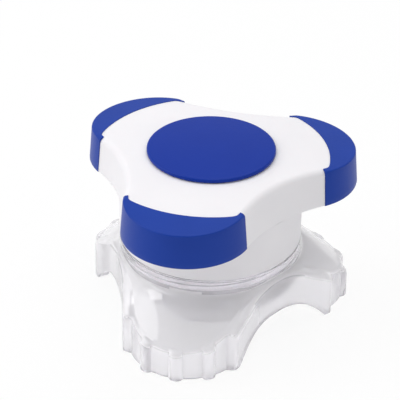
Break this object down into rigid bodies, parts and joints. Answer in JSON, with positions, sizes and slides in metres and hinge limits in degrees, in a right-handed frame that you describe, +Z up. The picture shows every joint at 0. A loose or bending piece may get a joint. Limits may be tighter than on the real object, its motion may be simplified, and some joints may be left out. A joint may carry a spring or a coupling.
{
  "type": "tablet crusher",
  "caption": "Hand-turned screw tablet crusher: clear lobed base with a crushing cup, white and blue lobed knob, tablet store under a round lid.",
  "frame": {"origin": "on the screw's axis, at the flat underside of the crushing cup, level with the feet", "axes": "+Z up the screw's axis towards the lid, one lobe points to -Y, +X is across the other two lobes"},
  "size_m": [0.0756, 0.0705, 0.049],
  "materials": {
    "clear_plastic": "clear moulded, glossy",
    "white_plastic": "satin moulded",
    "blue_plastic": "satin moulded",
    "blue_grip": "smooth soft-touch"
  },
  "bodies": {
    "base": {"base_shell": "clear_plastic", "crushing_cup": "clear_plastic"},
    "barrel": {"barrel": "white_plastic"},
    "knob": {"knob_shell": "white_plastic", "front_grip": "blue_grip", "right_grip": "blue_grip", "left_grip": "blue_grip", "plunger": "white_plastic"},
    "storage_lid": {"storage_lid": "blue_plastic"}
  },
  "joints": [
    {"name": "knob_rise", "type": "slide", "parent": "base", "child": "barrel", "axis": [0, 0, 1], "range_m": [0, 0.026]},
    {"name": "knob_turn", "type": "hinge", "parent": "barrel", "child": "knob", "pos_m": [0, 0, 0.0364], "axis": [0, 0, 1], "range_deg": [0, 1800]},
    {"name": "lid_lift", "type": "slide", "parent": "knob", "child": "storage_lid", "axis": [0, 0, 1], "range_m": [0, 0.012]}
  ],
  "couplings": [
    {"joint": "knob_rise", "follows": "knob_turn", "m_per_rad": 0.0008276}
  ]
}
